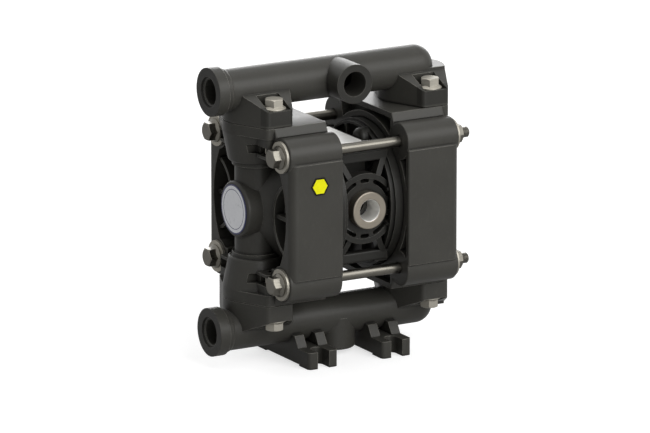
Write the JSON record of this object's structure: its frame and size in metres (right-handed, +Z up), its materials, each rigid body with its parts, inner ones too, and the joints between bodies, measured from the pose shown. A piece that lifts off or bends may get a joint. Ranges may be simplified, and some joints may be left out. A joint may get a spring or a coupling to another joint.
{
  "type": "air operated diaphragm pump",
  "caption": "Small air operated double diaphragm pump with plastic casings, tie bolts, two manifolds with check valves, a centre air valve block and slotted mounting feet.",
  "frame": {"origin": "on the floor, midway between the two casings and on the shaft's vertical plane", "axes": "+X along the diaphragm shaft towards the closed manifold ends, -Y towards the air inlet, +Z up"},
  "size_m": [0.199, 0.128, 0.2313],
  "materials": {
    "casing_plastic": "moulded glass-filled polypropylene, fine grain",
    "block_plastic": "moulded glass-filled polypropylene, fine grain",
    "stainless": "stainless steel, satin",
    "bush_stainless": "turned stainless steel, fine",
    "badge_face": "plain white disc with a dark blue ring",
    "label_yellow": "plain yellow hexagon with a dark border",
    "plate_white": "bare off-white plate",
    "elastomer": "black elastomer",
    "ptfe": "white PTFE",
    "valve_plastic": "moulded acetal",
    "silencer_plastic": "sintered polyethylene"
  },
  "bodies": {
    "housing": {"left_casing": "casing_plastic", "right_casing": "casing_plastic", "discharge_manifold": "casing_plastic", "suction_manifold": "casing_plastic", "centre_block": "block_plastic", "air_inlet_bush": "bush_stainless", "exhaust_silencer": "silencer_plastic", "valve_sleeve": "valve_plastic", "shaft_bushes": "valve_plastic", "shaft_rings": "elastomer", "diaphragm_left": "elastomer", "diaphragm_right": "elastomer", "valve_seats": "valve_plastic", "seat_rings": "elastomer", "ball_cages": "valve_plastic", "manifold_seals": "elastomer", "tie_bolts": "stainless", "tie_washers": "stainless", "tie_nuts": "stainless", "manifold_bolts": "stainless", "manifold_nuts": "stainless", "boss_badge": "badge_face", "hexagon_label": "label_yellow", "rating_plate": "plate_white"},
    "shuttle": {"diaphragm_shaft": "stainless", "inner_plates": "valve_plastic", "outer_plates": "valve_plastic", "plate_nuts": "stainless"},
    "air_spool": {"valve_spool": "valve_plastic", "spool_rings": "elastomer"},
    "pilot": {"pilot_rod": "stainless"},
    "suction_ball_left_body": {"suction_ball_left": "ptfe"},
    "suction_ball_right_body": {"suction_ball_right": "ptfe"},
    "discharge_ball_left_body": {"discharge_ball_left": "ptfe"},
    "discharge_ball_right_body": {"discharge_ball_right": "ptfe"}
  },
  "joints": [
    {"name": "shaft_stroke", "type": "slide", "parent": "housing", "child": "shuttle", "axis": [1, 0, 0], "range_m": [-0.004, 0.004], "deforming": ["diaphragm_left", "diaphragm_right"]},
    {"name": "spool_shift", "type": "slide", "parent": "housing", "child": "air_spool", "axis": [1, 0, 0], "range_m": [-0.003, 0.003]},
    {"name": "pilot_shift", "type": "slide", "parent": "housing", "child": "pilot", "axis": [1, 0, 0], "range_m": [-0.002, 0.002]},
    {"name": "suction_ball_left_lift", "type": "slide", "parent": "housing", "child": "suction_ball_left_body", "axis": [0, 0, 1], "range_m": [0, 0.005]},
    {"name": "suction_ball_right_lift", "type": "slide", "parent": "housing", "child": "suction_ball_right_body", "axis": [0, 0, 1], "range_m": [0, 0.005]},
    {"name": "discharge_ball_left_lift", "type": "slide", "parent": "housing", "child": "discharge_ball_left_body", "axis": [0, 0, 1], "range_m": [0, 0.005]},
    {"name": "discharge_ball_right_lift", "type": "slide", "parent": "housing", "child": "discharge_ball_right_body", "axis": [0, 0, 1], "range_m": [0, 0.005]}
  ],
  "couplings": [
    {"joint": "pilot_shift", "follows": "shaft_stroke", "ratio": 0.5}
  ]
}
